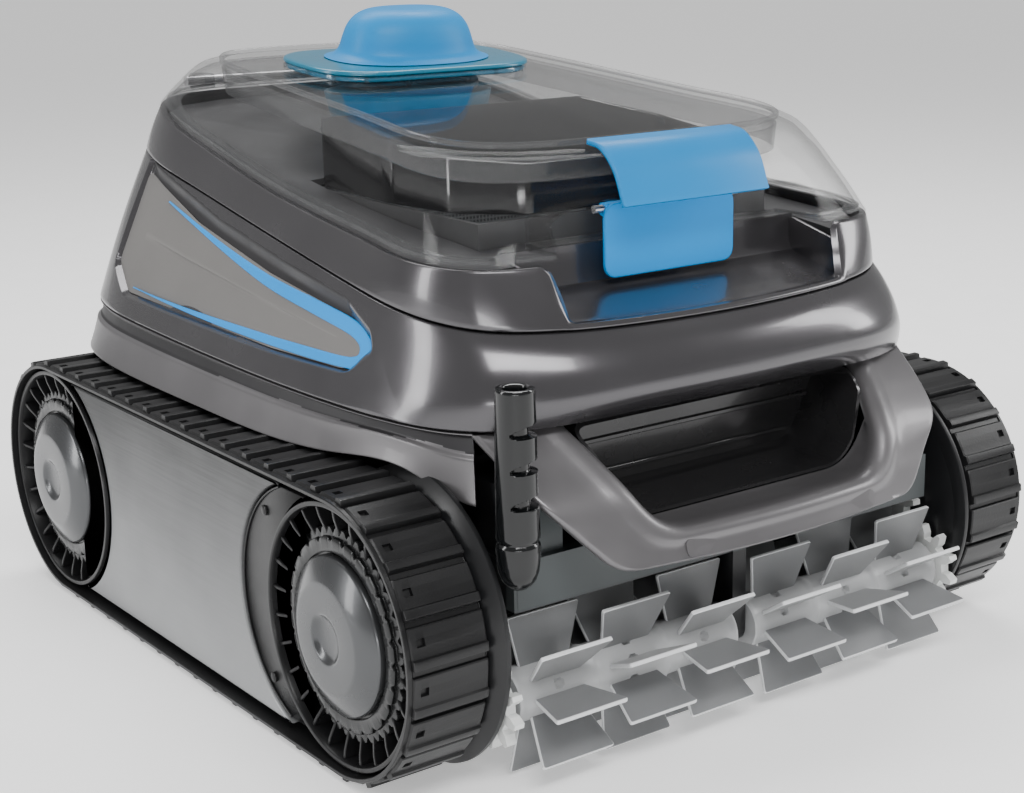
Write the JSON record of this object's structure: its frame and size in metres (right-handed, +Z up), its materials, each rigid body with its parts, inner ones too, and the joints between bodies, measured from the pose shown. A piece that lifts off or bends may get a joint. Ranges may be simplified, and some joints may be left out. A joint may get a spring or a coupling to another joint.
{
  "type": "pool cleaner",
  "caption": "Tracked robotic pool cleaner with a twin front brush, a clear hinged lid over a filter basket and pump, a latch and a top outlet hood.",
  "frame": {"origin": "on the ground under the middle of the whole cleaner's box", "axes": "+X to the cleaner's right side, +Y to the rear, +Z up"},
  "size_m": [0.375, 0.4427, 0.3108],
  "materials": {
    "black_plastic": "fine moulded black plastic",
    "satin_grey": "satin warm grey, metal-effect plastic",
    "gunmetal": "glossy metallic gunmetal",
    "matte_grey": "matte grey, finely grained",
    "accent_blue": "glossy bright blue plastic",
    "screen": "woven filter screen",
    "steel": "brushed",
    "gloss_black": "glossy black elastomer",
    "clear_lid": "clear polycarbonate",
    "track_rubber": "satin black rubber",
    "seal_rubber": "matte rubber",
    "wheel_black": "satin black plastic",
    "silver_plate": "brushed silver-grey sheet",
    "hub_grey": "satin metallic grey",
    "gear_white": "off-white acetal",
    "brush_blade": "translucent grey elastomer"
  },
  "bodies": {
    "chassis": {"chassis_tub": "black_plastic", "slot_liner": "black_plastic", "inner_deck": "black_plastic", "filter_basket": "black_plastic", "filter_cover": "black_plastic", "motor_block": "black_plastic", "lower_skirt": "satin_grey", "front_panel": "satin_grey", "upper_casing": "gunmetal", "shoulder_ring": "gunmetal", "latch_pocket": "gunmetal", "grip_pad": "matte_grey", "side_cover_left": "matte_grey", "side_cover_right": "matte_grey", "flow_duct": "accent_blue", "side_stripe_left": "accent_blue", "side_stripe_right": "accent_blue", "filter_screen": "screen", "hinge_pin": "steel", "stub_axle_left": "steel", "stub_axle_right": "steel", "strain_relief": "gloss_black", "track_belt_left": "track_rubber", "track_belt_right": "track_rubber", "shaft_seal_left": "seal_rubber", "shaft_seal_right": "seal_rubber", "brush_bush_left": "seal_rubber", "brush_bush_right": "seal_rubber", "track_guard_left": "wheel_black", "track_guard_right": "wheel_black", "crescent_guard_left": "wheel_black", "crescent_guard_right": "wheel_black", "side_plate_left": "silver_plate", "side_plate_right": "silver_plate"},
    "lid": {"lid": "clear_lid", "outlet_plate": "accent_blue", "outlet_hood": "accent_blue", "propeller_guard": "accent_blue", "latch_cover": "accent_blue", "latch_pin": "steel"},
    "latch": {"latch_flap": "accent_blue"},
    "propeller": {"propeller": "black_plastic", "pump_shaft": "steel"},
    "rear_wheel_left": {"rear_wheel_left": "wheel_black", "rear_hub_cap_left": "hub_grey", "drive_shaft_left": "steel"},
    "front_wheel_left": {"front_wheel_left": "wheel_black", "front_hub_cap_left": "hub_grey", "wheel_gear_left": "gear_white"},
    "brush_left": {"brush_roller_left": "brush_blade", "brush_gear_left": "gear_white"},
    "rear_wheel_right": {"rear_wheel_right": "wheel_black", "rear_hub_cap_right": "hub_grey", "drive_shaft_right": "steel"},
    "front_wheel_right": {"front_wheel_right": "wheel_black", "front_hub_cap_right": "hub_grey", "wheel_gear_right": "gear_white"},
    "brush_right": {"brush_roller_right": "brush_blade", "brush_gear_right": "gear_white"}
  },
  "joints": [
    {"name": "lid_hinge", "type": "hinge", "parent": "chassis", "child": "lid", "pos_m": [0, 0.19525, 0.267], "axis": [-1, 0, 0], "range_deg": [0, 100]},
    {"name": "latch_pivot", "type": "hinge", "parent": "lid", "child": "latch", "pos_m": [0, -0.13385, 0.2315], "axis": [-1, 0, 0], "range_deg": [0, 55]},
    {"name": "propeller_spin", "type": "hinge", "parent": "chassis", "child": "propeller", "pos_m": [0, 0.08425, 0.226], "axis": [0, 0, 1], "continuous": true},
    {"name": "rear_wheel_left_spin", "type": "hinge", "parent": "chassis", "child": "rear_wheel_left", "pos_m": [0, 0.15675, 0.0647], "axis": [1, 0, 0], "continuous": true},
    {"name": "front_wheel_left_spin", "type": "hinge", "parent": "chassis", "child": "front_wheel_left", "pos_m": [0, -0.13425, 0.0647], "axis": [1, 0, 0], "continuous": true},
    {"name": "brush_left_spin", "type": "hinge", "parent": "chassis", "child": "brush_left", "pos_m": [0, -0.17885, 0.0371], "axis": [1, 0, 0], "continuous": true},
    {"name": "rear_wheel_right_spin", "type": "hinge", "parent": "chassis", "child": "rear_wheel_right", "pos_m": [0, 0.15675, 0.0647], "axis": [1, 0, 0], "continuous": true},
    {"name": "front_wheel_right_spin", "type": "hinge", "parent": "chassis", "child": "front_wheel_right", "pos_m": [0, -0.13425, 0.0647], "axis": [1, 0, 0], "continuous": true},
    {"name": "brush_right_spin", "type": "hinge", "parent": "chassis", "child": "brush_right", "pos_m": [0, -0.17885, 0.0371], "axis": [1, 0, 0], "continuous": true}
  ],
  "couplings": [
    {"joint": "front_wheel_left_spin", "follows": "rear_wheel_left_spin", "ratio": 1},
    {"joint": "brush_left_spin", "follows": "rear_wheel_left_spin", "ratio": -2},
    {"joint": "front_wheel_right_spin", "follows": "rear_wheel_right_spin", "ratio": 1},
    {"joint": "brush_right_spin", "follows": "rear_wheel_right_spin", "ratio": -2}
  ]
}
